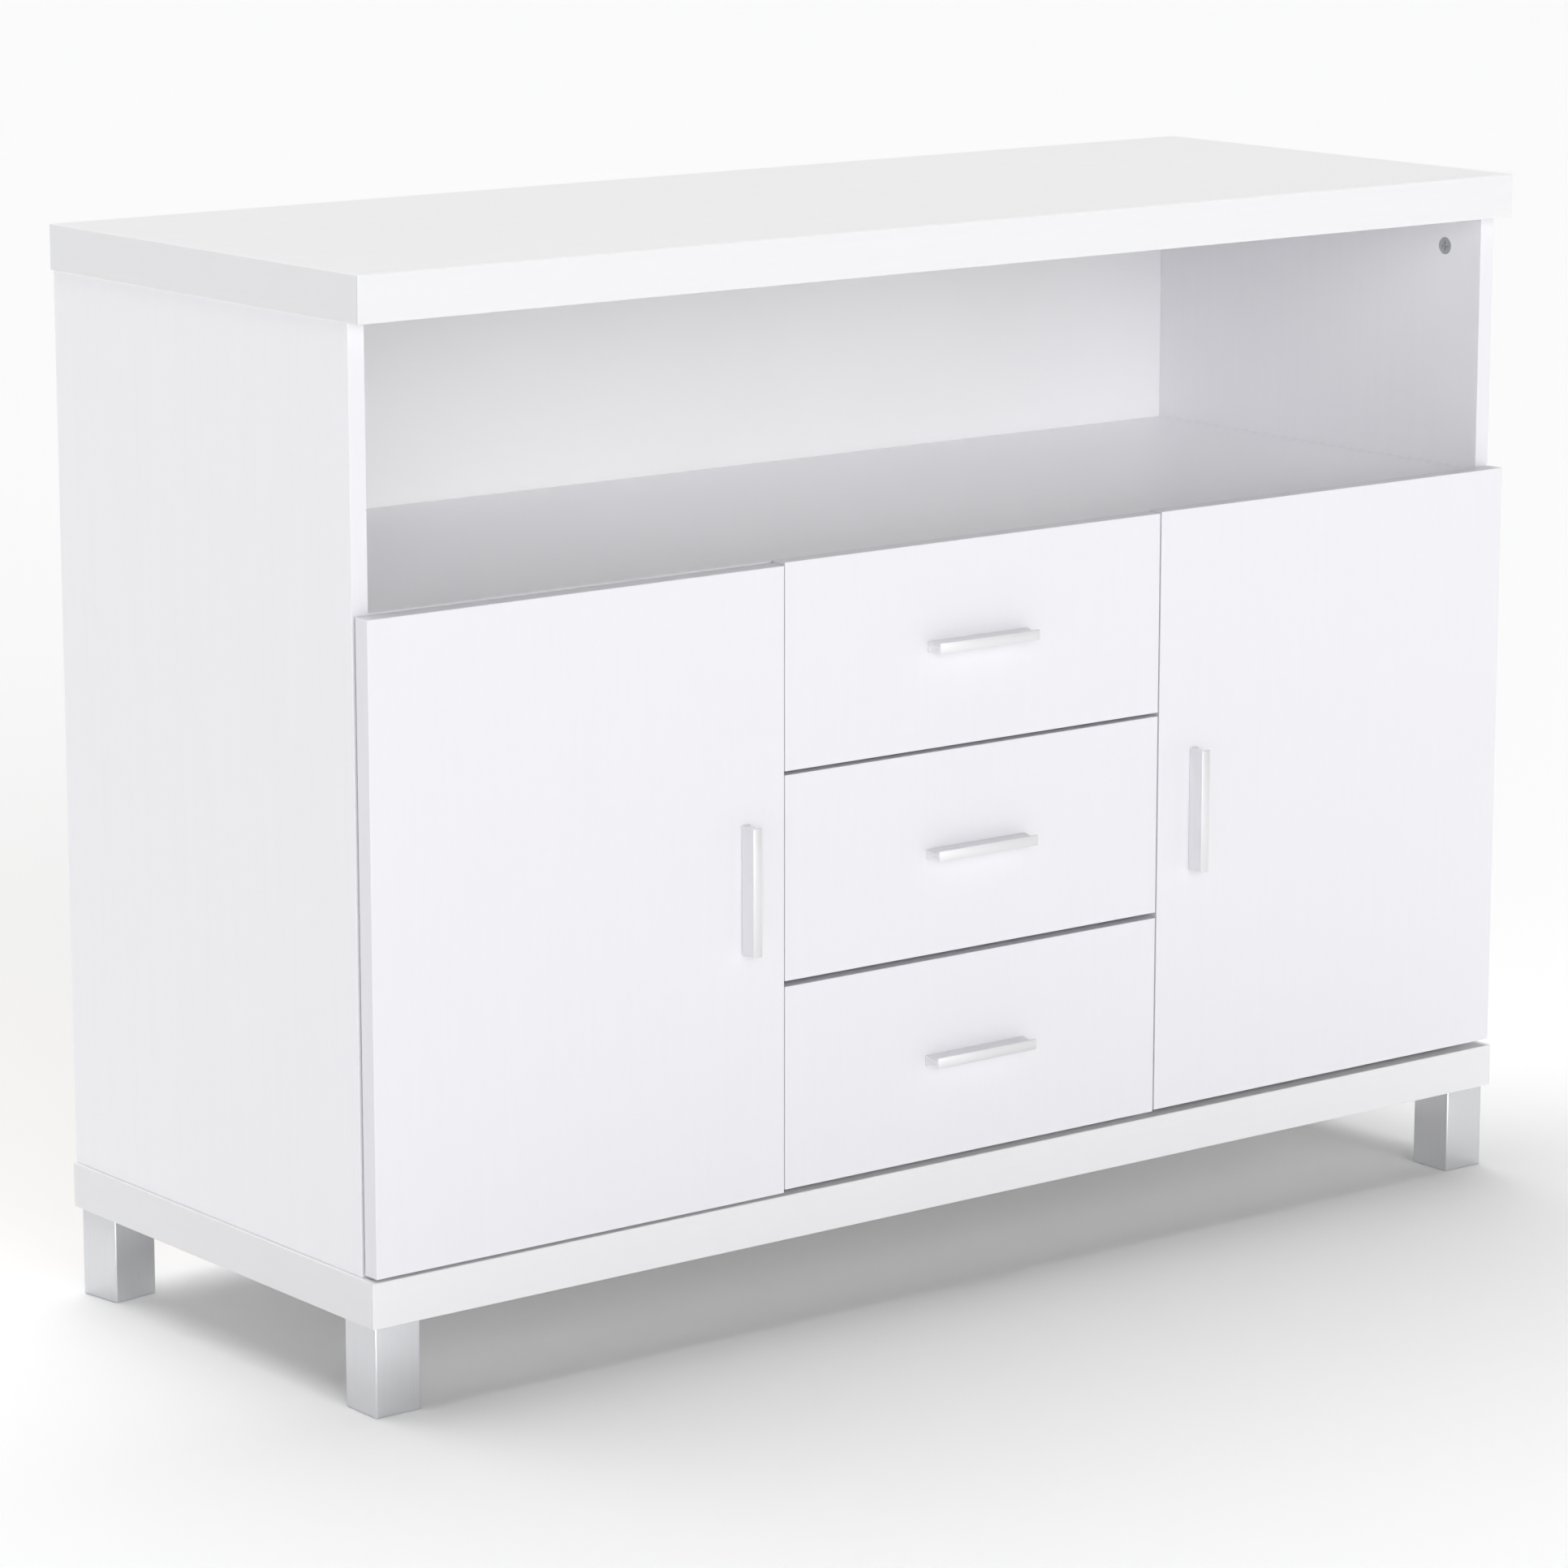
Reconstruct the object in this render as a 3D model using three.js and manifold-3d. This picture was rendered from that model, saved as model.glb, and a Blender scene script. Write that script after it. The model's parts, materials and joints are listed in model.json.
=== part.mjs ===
// Sideboard: a slab top and a slab base with a board carcass between them, an open compartment over
// two cupboards and three drawers, on four square legs. Millimetres, +Z up, the front faces -Y.
import * as THREE from "three";
import { mergeVertices } from "three/addons/utils/BufferGeometryUtils.js";
import Module from "manifold-3d";

const wasm = await Module();
wasm.setup();

// Overall sizes
const width = 1200;
const depth = 440;
const height = 886;

// Boards
const slab = 37; // top and base panels
const board = 15; // side panels, dividers, compartment floor, shelves
const frontBoard = 16; // doors and drawer fronts
const backBoard = 3;
const drawerBoard = 12;
const drawerBottomBoard = 3;

// Clearances
const seat = 0.1; // between two pieces that are fastened face to face
const leftReveal = 0.9; // upright gap from the left door to the drawer fronts
const rightReveal = 1.6; // upright gap from the drawer fronts to the right door
const lowerDrawerGap = 4.6; // level gap from the lower drawer front to the middle one
const upperDrawerGap = 3.1; // level gap from the middle drawer front to the upper one
const baseGap = 5; // level gap between the fronts and the base panel
const frontStandoff = 3; // from the carcass's front edges to the backs of the fronts
const shelfPlay = 1; // each side of a loose shelf

// Carcass
const sideInset = 3; // slab overhang past each side panel
const doorInset = 1; // from a side panel's outer face to its door's outer edge
const centreWidth = 397.5; // between the middles of the two dividers
const openHeight = 221.5; // open compartment, floor to top panel
const frontRise = 1.5; // the drawer fronts end this much above the compartment floor
const leftDoorDrop = 2.5; // the doors are hung by hand: the left one hangs lower than the drawer fronts
const rightDoorLift = 1; // and the right one higher
const backRebate = 6; // rebate along the side panels' rear inner edges
const backRebateWidth = 7;
const backPlay = 0.5;
const shelfSetback = 12;

// Legs
const legHeight = 73;
const legSide = 42;
const legInset = 5;
const legCorner = 1.5;
const looseLegTurn = 8; // degrees; each leg hangs on one bolt, and the rear left one has turned on it

// Handles: one extruded section, cut to length
const handleLength = 105;
const handleDepth = 17;
const handleWidth = 8.4; // flange on the front
const handleWall = 2;
const handleLip = 8.6;
const handleLipShift = 0.9; // how far the lip stands out past the flange, on the web's side
const handleHollow = 2.2; // how far the web is hollowed behind the lip
const handleEdge = 39; // from a door's free edge to the middle of its handle

// Hinges: a cup bored into the door, a pin across the cup, and an arm that hooks round the pin. These
// shapes leave room for 95 degrees of swing.
const hingeFromEnd = 85;
const cupRadius = 17.5;
const cupWall = 1;
const cupDepth = 12.5;
const cupMargin = 3; // board left between the cup and the door's outer edge
const pinToWall = 3; // from the cup's inner wall to the pin
const barrelPlay = 0.1; // from the barrel to the cup's floor
const pinRadius = 1.1;
const pinPlay = 0.15;
const barrelRadius = 1.9;
const noseWidth = 8;
const noseWall = 1.5;
const noseReach = 17; // from the pin to the nose's upright part
const armSetback = 37; // system hole line, from the side panel's front edge
const flangeWall = 1;

// Drawers and their runners
const runnerSpace = 12.5; // between a drawer side and its divider
const drawerRearSpace = 18; // behind a closed drawer
const drawerLift = 26; // from a front's lower edge to the drawer box
const drawerHeadroom = 30.5; // from the drawer box to its front's upper edge
const bottomLift = 10; // from the drawer box's lower edge to its bottom panel
const grooveDepth = 5;
const groovePlay = 0.15;
const railWall = 1.2;
const railSetback = 5; // a rail is this much shorter than its drawer
const railHeight = 38;
const railLip = 5;
const railDrop = 8; // cabinet rail below the drawer box
const railPlay = 0.6; // cabinet rail to drawer rail
const trackPlay = 3; // track to the cabinet rail's upper lip
const trackShort = 2.2; // track to the cabinet rail's wall

// Cam locks in the side panels, under the top panel
const camRadius = 7.3;
const camBore = 7.5;
const camDepth = 12;
const camFromTop = 29.5;
const camFromEdge = 44;
const crossLength = 8;
const crossWidth = 1.6;
const crossDepth = 1.5;

// Places worked out from the sizes above
const frontFace = -depth / 2;
const frontBack = frontFace + frontBoard;
const carcassFront = frontBack + frontStandoff;
const carcassRear = depth / 2;
const backFront = carcassRear - backRebate;
const baseTop = legHeight + slab;
const topUnder = height - slab;
const sideOuter = width / 2 - sideInset;
const sideInner = sideOuter - board;
const floorTop = topUnder - openHeight;
const floorUnder = floorTop - board;
const frontLow = baseTop + baseGap;
const frontHigh = floorTop + frontRise;
const doorOuter = sideOuter - doorInset;
const dividerOuter = (centreWidth + board) / 2;
const dividerInner = (centreWidth - board) / 2;
const doorFree = centreWidth / 2 + (leftReveal + rightReveal) / 4;
const drawerLeft = -doorFree + leftReveal;
const drawerRight = doorFree - rightReveal;
const drawerFrontHeight = (frontHigh - frontLow - lowerDrawerGap - upperDrawerGap) / 3;
const boxHalf = dividerInner - runnerSpace;
const drawerRear = backFront - drawerRearSpace;
const drawerSideHeight = drawerFrontHeight - drawerLift - drawerHeadroom;
const railLength = drawerRear - frontBack - railSetback;
const railReach = runnerSpace - railWall - 2 * seat - railPlay;
const trackLift = railHeight - railDrop - railLip - trackPlay;
const trackReach = runnerSpace - railWall - seat - trackShort;
const cupEdge = cupMargin + cupRadius; // from the door's outer edge to the cup's middle
const pinEdge = cupMargin + cupWall + pinToWall; // from the door's outer edge to the pin
const pinDepth = cupDepth - cupWall - barrelRadius - barrelPlay; // from the door's back face to the pin
const round = 40; // facets of a full circle

// Materials
function paintedBoard() {
  return new THREE.MeshStandardMaterial({ color: 0xf1f1f3, roughness: 0.45, metalness: 0 });
}

function drawerFoil() {
  return new THREE.MeshStandardMaterial({ color: 0xe9e9ea, roughness: 0.55, metalness: 0 });
}

function hardboard() {
  return new THREE.MeshStandardMaterial({ color: 0xe6e6e8, roughness: 0.6, metalness: 0 });
}

function satinAluminium() {
  return new THREE.MeshStandardMaterial({ color: 0xc9cacd, roughness: 0.35, metalness: 1 });
}

function coatedSteel() {
  return new THREE.MeshStandardMaterial({ color: 0xe4e4e2, roughness: 0.4, metalness: 0.1 });
}

function platedSteel() {
  return new THREE.MeshStandardMaterial({ color: 0xb4b6b9, roughness: 0.3, metalness: 1 });
}

function castZinc() {
  return new THREE.MeshStandardMaterial({ color: 0x9a9c9f, roughness: 0.5, metalness: 0.9 });
}

// Shapes
function middle(span) {
  return (span[0] + span[1]) / 2;
}

function length(span) {
  return span[1] - span[0];
}

function block(x, y, z) {
  const geometry = new THREE.BoxGeometry(length(x), length(y), length(z));
  return geometry.translate(middle(x), middle(y), middle(z));
}

function disc(radius, x, y, z) {
  const geometry = new THREE.CylinderGeometry(radius, radius, length(z), round);
  return geometry.rotateX(Math.PI / 2).translate(x, y, middle(z));
}

function discAcross(radius, x, y, z) {
  const geometry = new THREE.CylinderGeometry(radius, radius, length(x), round);
  return geometry.rotateZ(Math.PI / 2).translate(middle(x), y, z);
}

function discDeep(radius, x, y, z) {
  const geometry = new THREE.CylinderGeometry(radius, radius, length(y), round);
  return geometry.translate(x, middle(y), z);
}

// A section in the X-Z plane, drawn along Y
function drawn(outline, y) {
  const section = new THREE.Shape(outline.map(([x, z]) => new THREE.Vector2(x, z)));
  const geometry = new THREE.ExtrudeGeometry(section, { depth: length(y), bevelEnabled: false });
  return geometry.rotateX(Math.PI / 2).translate(0, y[1], 0);
}

function solid(geometry) {
  const bare = geometry.clone();
  bare.deleteAttribute("normal");
  bare.deleteAttribute("uv");
  const merged = mergeVertices(bare, 1e-4);
  const mesh = new wasm.Mesh({
    numProp: 3,
    vertProperties: merged.attributes.position.array,
    triVerts: new Uint32Array(merged.index.array),
  });
  return new wasm.Manifold(mesh);
}

function join(...geometries) {
  return geometries.map(solid).reduce((whole, piece) => whole.add(piece));
}

function cut(whole, ...geometries) {
  return geometries.map(solid).reduce((rest, piece) => rest.subtract(piece), whole);
}

function surface(manifold) {
  const mesh = manifold.getMesh();
  const geometry = new THREE.BufferGeometry();
  geometry.setAttribute("position", new THREE.BufferAttribute(new Float32Array(mesh.vertProperties), 3));
  geometry.setIndex(new THREE.BufferAttribute(new Uint32Array(mesh.triVerts), 1));
  geometry.computeVertexNormals();
  return geometry;
}

function piece(name, geometry, material) {
  const mesh = new THREE.Mesh(geometry, material);
  mesh.name = name;
  return mesh;
}

function panel(name, x, y, z, material = paintedBoard()) {
  const geometry = new THREE.BoxGeometry(length(x), length(y), length(z));
  const mesh = piece(name, geometry, material);
  mesh.position.set(middle(x), middle(y), middle(z));
  return mesh;
}

// The two slabs
function slabs() {
  const x = [-width / 2, width / 2];
  const y = [-depth / 2, depth / 2];
  return [
    panel("top_panel", x, y, [topUnder, height]),
    panel("base_panel", x, y, [legHeight, baseTop]),
  ];
}

// A side panel with the rear rebate and the bores for its two cam locks
function sidePanel(name, side) {
  const z = [baseTop + seat, topUnder - seat];
  const whole = solid(block([0, board], [carcassFront, carcassRear], z));
  const rebate = block([-1, backRebateWidth], [backFront, carcassRear + 1], [z[0] - 1, z[1] + 1]);
  const bores = camPlaces().map((y) => discAcross(camBore, [-1, camDepth + seat], y, camHeight()));
  const geometry = surface(cut(whole, rebate, ...bores));
  return turned(piece(name, geometry, paintedBoard()), side);
}

// Pieces of the side walls are made for the left wall's inner face at x = 0, the board towards +x,
// and turned half round Z's mirror for the other wall by the sign of x.
function turned(mesh, side) {
  const position = mesh.geometry.attributes.position;
  for (let i = 0; i < position.count; i++) {
    position.setX(i, side * position.getX(i));
  }
  if (side < 0) {
    flip(mesh.geometry);
  }
  mesh.geometry.computeVertexNormals();
  mesh.position.x = side * sideInner;
  return mesh;
}

function flip(geometry) {
  const index = geometry.index.array;
  for (let i = 0; i < index.length; i += 3) {
    [index[i + 1], index[i + 2]] = [index[i + 2], index[i + 1]];
  }
}

function camHeight() {
  return topUnder - camFromTop;
}

function camPlaces() {
  return [carcassFront + camFromEdge, carcassRear - camFromEdge];
}

function camLock(name, side, y) {
  const body = solid(discAcross(camRadius, [0, camDepth], y, camHeight()));
  const half = crossLength / 2;
  const thin = crossWidth / 2;
  const level = block([-1, crossDepth], [y - half, y + half], [camHeight() - thin, camHeight() + thin]);
  const upright = block([-1, crossDepth], [y - thin, y + thin], [camHeight() - half, camHeight() + half]);
  return turned(piece(name, surface(cut(body, level, upright)), castZinc()), side);
}

function camLocks(word, side) {
  const [front, rear] = camPlaces();
  return [
    camLock(`${word}_front_cam_lock`, side, front),
    camLock(`${word}_rear_cam_lock`, side, rear),
  ];
}

function carcass() {
  const inside = [carcassFront, backFront - seat];
  const upright = [baseTop + seat, floorUnder - seat];
  const reach = sideInner + backRebateWidth - backPlay;
  return [
    sidePanel("left_side_panel", -1),
    sidePanel("right_side_panel", 1),
    panel("left_divider", [-dividerOuter, -dividerInner], inside, upright),
    panel("right_divider", [dividerInner, dividerOuter], inside, upright),
    panel("compartment_floor", [-sideInner + seat, sideInner - seat], inside, [floorUnder, floorTop]),
    panel(
      "back_panel",
      [-reach, reach],
      [backFront + seat, backFront + seat + backBoard],
      [baseTop + backPlay, topUnder - backPlay],
      hardboard(),
    ),
    ...camLocks("left", -1),
    ...camLocks("right", 1),
  ];
}

function shelf(name, side) {
  const ends = [side * (dividerOuter + shelfPlay), side * (sideInner - shelfPlay)];
  const middleHeight = (baseTop + floorUnder) / 2;
  return panel(
    name,
    ends.sort((a, b) => a - b),
    [carcassFront + shelfSetback, backFront - shelfPlay],
    [middleHeight - board / 2, middleHeight + board / 2],
  );
}

// A leg: a square block with softened corners, bolted up into the base panel
function leg(name, sideX, sideY, turn = 0) {
  const half = legSide / 2;
  const inner = half - legCorner;
  const section = new THREE.Shape();
  section.absarc(inner, inner, legCorner, 0, Math.PI / 2);
  section.absarc(-inner, inner, legCorner, Math.PI / 2, Math.PI);
  section.absarc(-inner, -inner, legCorner, Math.PI, Math.PI * 1.5);
  section.absarc(inner, -inner, legCorner, Math.PI * 1.5, Math.PI * 2);
  const geometry = new THREE.ExtrudeGeometry(section, {
    depth: legHeight - seat,
    bevelEnabled: false,
    curveSegments: 4,
  });
  const mesh = piece(name, geometry, satinAluminium());
  const fromMiddle = legInset + half;
  mesh.position.set(sideX * (width / 2 - fromMiddle), sideY * (depth / 2 - fromMiddle), 0);
  mesh.rotation.z = THREE.MathUtils.degToRad(turn);
  return mesh;
}

function legs() {
  return [
    leg("front_left_leg", -1, -1),
    leg("front_right_leg", 1, -1),
    leg("rear_left_leg", -1, 1, looseLegTurn),
    leg("rear_right_leg", 1, 1),
  ];
}

// The handle section: a flange on the front, a hollowed web, and a lip. It is drawn along Y here, with the
// flange's back at z = 0, the lip towards +z, and the web on the +x side.
function handleSection() {
  const web = handleWidth / 2;
  const lip = web + handleLipShift;
  const lipInside = handleDepth - handleWall;
  const steps = 6;
  const hollow = [];
  for (let i = 0; i <= steps; i++) {
    const along = i / steps;
    const z = handleWall + along * (lipInside - handleWall);
    hollow.push([web - handleHollow * Math.sin((Math.PI / 2) * along), z]);
  }
  const inner = [...hollow].reverse().map(([x, z]) => [x - handleWall, z]);
  return [
    [-web, 0],
    [web, 0],
    ...hollow,
    [lip, lipInside],
    [lip, handleDepth],
    [lip - handleLip, handleDepth],
    [lip - handleLip, lipInside],
    ...inner,
    [-web, handleWall],
  ];
}

function handle(name, x, z, upright) {
  const half = handleLength / 2;
  const geometry = drawn(handleSection(), [-half, half]).rotateX(Math.PI / 2);
  geometry.rotateY(upright ? Math.PI : -Math.PI / 2);
  const mesh = piece(name, geometry, satinAluminium());
  mesh.position.set(x, frontFace - seat, z);
  return mesh;
}

// A hinge cup with its pin. Here x runs inwards from the door's outer edge, y back from its back face.
function hingeCup(name, inward) {
  const x = inward * cupEdge;
  const pin = inward * pinEdge;
  const cup = cupRadius - cupWall;
  const wing = [x - cup / 2, x + cup / 2];
  const halfWing = cupRadius + 9;
  const outside = join(
    discDeep(cupRadius, x, [-cupDepth, seat + flangeWall], 0),
    block(wing, [seat, seat + flangeWall], [-halfWing, halfWing]),
  );
  const open = cut(outside, discDeep(cup, x, [cupWall - cupDepth, seat + flangeWall + 1], 0));
  const halfPin = Math.sqrt(cup ** 2 - (cupEdge - pinEdge) ** 2); // its ends sink into the cup's wall
  const whole = open.add(solid(disc(pinRadius, pin, -pinDepth, [-halfPin, halfPin])));
  return piece(name, surface(whole), platedSteel());
}

// A hinge arm: a plate on the side panel, a channel bar over it, and a nose that hooks round the pin
function hingeArm(name, inward) {
  const wall = doorOuter - sideInner + seat;
  const plate = wall + 2;
  const nose = pinEdge + noseReach;
  const holeLine = frontStandoff + armSetback;
  const halfNose = noseWidth / 2;
  const span = (low, high) => [inward * low, inward * high].sort((a, b) => a - b);
  const whole = join(
    block(span(wall, plate), [holeLine - 18, holeLine + 18], [-22, 22]),
    block(span(plate - 0.5, nose + noseWall / 2), [frontStandoff + 1, holeLine + 14], [-7, 7]),
    block(
      span(nose - noseWall / 2, nose + noseWall / 2),
      [-pinDepth - noseWall / 2, frontStandoff + 2],
      [-halfNose, halfNose],
    ),
    block(
      span(pinEdge, nose + noseWall / 2),
      [-pinDepth - noseWall / 2, -pinDepth + noseWall / 2],
      [-halfNose, halfNose],
    ),
    disc(barrelRadius, inward * pinEdge, -pinDepth, [-halfNose, halfNose]),
  );
  const bore = disc(pinRadius + pinPlay, inward * pinEdge, -pinDepth, [-halfNose - 1, halfNose + 1]);
  return piece(name, surface(cut(whole, bore)), platedSteel());
}

// A door with its handle and hinge cups, and the hinge arms that stay on the carcass
function door(word, side, lift) {
  const low = frontLow + lift;
  const high = frontHigh + lift;
  const inward = -side;
  const edge = side * doorOuter;
  const x = [side * doorFree, edge].sort((a, b) => a - b);
  const blank = solid(block(x, [frontFace, frontBack], [low, high]));
  const heights = Object.entries({ lower: low + hingeFromEnd, upper: high - hingeFromEnd });
  const bores = heights.map(([, z]) =>
    discDeep(cupRadius + seat, edge + inward * cupEdge, [frontBack - cupDepth - seat, frontBack + 1], z),
  );
  const pieces = [
    piece(`${word}_door`, surface(cut(blank, ...bores)), paintedBoard()),
    handle(`${word}_door_handle`, side * (doorFree + handleEdge), (low + high) / 2, true),
  ];
  for (const [level, z] of heights) {
    const cup = hingeCup(`${word}_door_${level}_hinge_cup`, inward);
    const arm = hingeArm(`${word}_door_${level}_hinge_arm`, inward);
    cup.position.set(edge, frontBack, z);
    arm.position.set(edge, frontBack, z);
    pieces.push(cup, arm);
  }
  return pieces;
}

// A drawer side with the groove for the bottom panel
function drawerSide(name, side) {
  const outer = side * boxHalf;
  const inner = side * (boxHalf - drawerBoard);
  const groove = side * (boxHalf - drawerBoard + grooveDepth);
  const low = bottomLift - groovePlay;
  const high = bottomLift + drawerBottomBoard + groovePlay;
  const outline = [
    [outer, 0],
    [outer, drawerSideHeight],
    [inner, drawerSideHeight],
    [inner, high],
    [groove, high],
    [groove, low],
    [inner, low],
    [inner, 0],
  ];
  const y = [frontBack + seat, drawerRear];
  return piece(name, drawn(outline, y), drawerFoil());
}

// The rail on the divider: a channel open towards the drawer
function cabinetRail(name, side) {
  const at = (fromWall) => side * (dividerInner - seat - fromWall);
  const low = -railDrop;
  const high = railHeight - railDrop;
  const outline = [
    [at(0), low],
    [at(railReach), low],
    [at(railReach), low + railLip],
    [at(railReach - railWall), low + railLip],
    [at(railReach - railWall), low + railWall],
    [at(railWall), low + railWall],
    [at(railWall), high - railWall],
    [at(railReach - railWall), high - railWall],
    [at(railReach - railWall), high - railLip],
    [at(railReach), high - railLip],
    [at(railReach), high],
    [at(0), high],
  ];
  return piece(name, drawn(outline, [carcassFront + 1, carcassFront + 1 + railLength]), coatedSteel());
}

// The rail under the drawer side: a foot below it, a wall beside it, and a track into the channel
function drawerRail(name, side) {
  const at = (outwards) => side * (boxHalf + outwards);
  const outline = [
    [at(-drawerBoard), -seat - railWall],
    [at(seat + railWall), -seat - railWall],
    [at(seat + railWall), trackLift - railWall],
    [at(trackReach), trackLift - railWall],
    [at(trackReach), trackLift],
    [at(seat), trackLift],
    [at(seat), -seat],
    [at(-drawerBoard), -seat],
  ];
  const y = [frontBack + seat, frontBack + seat + railLength];
  return piece(name, drawn(outline, y), coatedSteel());
}

function drawer(word, low) {
  const inner = boxHalf - drawerBoard;
  const bottomHalf = inner + grooveDepth - groovePlay;
  const front = panel(
    `${word}_drawer_front`,
    [drawerLeft, drawerRight],
    [frontFace, frontBack],
    [low, low + drawerFrontHeight],
  );
  const box = new THREE.Group();
  box.position.z = low + drawerLift;
  box.add(
    drawerSide(`${word}_drawer_left_side`, -1),
    drawerSide(`${word}_drawer_right_side`, 1),
    panel(
      `${word}_drawer_back`,
      [-inner + seat, inner - seat],
      [drawerRear - drawerBoard, drawerRear],
      [bottomLift + drawerBottomBoard + groovePlay, drawerSideHeight],
      drawerFoil(),
    ),
    panel(
      `${word}_drawer_bottom`,
      [-bottomHalf, bottomHalf],
      [frontBack + seat, drawerRear],
      [bottomLift, bottomLift + drawerBottomBoard],
      hardboard(),
    ),
    drawerRail(`${word}_drawer_left_drawer_rail`, -1),
    drawerRail(`${word}_drawer_right_drawer_rail`, 1),
    cabinetRail(`${word}_drawer_left_cabinet_rail`, -1),
    cabinetRail(`${word}_drawer_right_cabinet_rail`, 1),
  );
  return [front, box, handle(`${word}_drawer_handle`, 0, low + drawerFrontHeight / 2, false)];
}

const middleLow = frontLow + drawerFrontHeight + lowerDrawerGap;
const upperLow = middleLow + drawerFrontHeight + upperDrawerGap;
const sideboard = new THREE.Group();
sideboard.add(
  ...slabs(),
  ...carcass(),
  shelf("left_shelf", -1),
  shelf("right_shelf", 1),
  ...legs(),
  ...door("left", -1, -leftDoorDrop),
  ...door("right", 1, rightDoorLift),
  ...drawer("lower", frontLow),
  ...drawer("middle", middleLow),
  ...drawer("upper", upperLow),
);
sideboard.position.y = (handleDepth + seat) / 2; // the handles stand proud, so this centres the whole

export default sideboard;
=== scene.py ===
# Sideboard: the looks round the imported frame. Metres, +Z up, the fronts face -Y.
import bpy
import bmesh
import json
import math
from mathutils import Matrix, Vector


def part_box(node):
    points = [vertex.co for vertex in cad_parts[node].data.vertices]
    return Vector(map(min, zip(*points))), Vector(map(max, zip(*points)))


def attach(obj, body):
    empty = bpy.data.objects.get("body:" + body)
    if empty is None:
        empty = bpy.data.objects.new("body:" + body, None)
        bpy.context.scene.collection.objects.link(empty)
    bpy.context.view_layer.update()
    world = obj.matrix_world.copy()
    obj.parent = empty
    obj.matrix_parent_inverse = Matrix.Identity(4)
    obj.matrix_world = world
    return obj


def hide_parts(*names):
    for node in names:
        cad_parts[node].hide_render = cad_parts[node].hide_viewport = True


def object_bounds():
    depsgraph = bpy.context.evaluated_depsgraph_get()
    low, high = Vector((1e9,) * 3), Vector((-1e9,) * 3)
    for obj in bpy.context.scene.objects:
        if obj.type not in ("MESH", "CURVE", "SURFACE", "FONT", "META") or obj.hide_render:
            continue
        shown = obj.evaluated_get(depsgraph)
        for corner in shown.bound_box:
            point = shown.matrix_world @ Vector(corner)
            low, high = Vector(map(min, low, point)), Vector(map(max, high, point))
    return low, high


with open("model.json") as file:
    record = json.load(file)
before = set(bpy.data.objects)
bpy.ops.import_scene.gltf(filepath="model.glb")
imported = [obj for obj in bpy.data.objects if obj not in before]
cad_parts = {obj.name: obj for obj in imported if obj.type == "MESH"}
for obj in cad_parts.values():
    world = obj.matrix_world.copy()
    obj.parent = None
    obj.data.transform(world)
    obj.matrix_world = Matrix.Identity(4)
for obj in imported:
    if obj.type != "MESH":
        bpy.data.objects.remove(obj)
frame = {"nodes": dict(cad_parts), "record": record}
cadBox = [list(corner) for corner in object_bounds()]
bodyOf = {node: body for body, nodes in frame["record"]["behaviour"]["bodies"].items() for node in nodes}
drawerLevels = ("lower", "middle", "upper")
print("frame loaded:", len(frame["nodes"]), "nodes")


def newFinish(name):
    finish = bpy.data.materials.new(name)
    finish.use_nodes = True
    tree = finish.node_tree
    return finish, tree, tree.nodes["Principled BSDF"]


def patternPlace(tree, stretch):
    coords = tree.nodes.new("ShaderNodeTexCoord")
    place = tree.nodes.new("ShaderNodeMapping")
    place.inputs["Scale"].default_value = stretch
    tree.links.new(coords.outputs["Object"], place.inputs["Vector"])
    return place.outputs["Vector"]


def noiseOf(tree, place, scale, detail=3.0, rough=0.55):
    noise = tree.nodes.new("ShaderNodeTexNoise")
    noise.inputs["Scale"].default_value = scale
    noise.inputs["Detail"].default_value = detail
    noise.inputs["Roughness"].default_value = rough
    tree.links.new(place, noise.inputs["Vector"])
    return noise.outputs["Fac"]


def rangeOf(tree, value, low, high, fromLow=0.3, fromHigh=0.7):
    spread = tree.nodes.new("ShaderNodeMapRange")
    spread.inputs["From Min"].default_value = fromLow
    spread.inputs["From Max"].default_value = fromHigh
    spread.inputs["To Min"].default_value = low
    spread.inputs["To Max"].default_value = high
    tree.links.new(value, spread.inputs["Value"])
    return spread.outputs["Result"]


def blendOf(tree, value, first, second):
    mix = tree.nodes.new("ShaderNodeMix")
    mix.data_type = "RGBA"
    mix.inputs["A"].default_value = (*first, 1)
    mix.inputs["B"].default_value = (*second, 1)
    tree.links.new(value, mix.inputs["Factor"])
    return mix.outputs["Result"]


def bumpOf(tree, height, distance, under=None):
    bump = tree.nodes.new("ShaderNodeBump")
    bump.inputs["Strength"].default_value = 1.0
    bump.inputs["Distance"].default_value = distance
    tree.links.new(height, bump.inputs["Height"])
    if under is not None:
        tree.links.new(under, bump.inputs["Normal"])
    return bump.outputs["Normal"]


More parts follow.
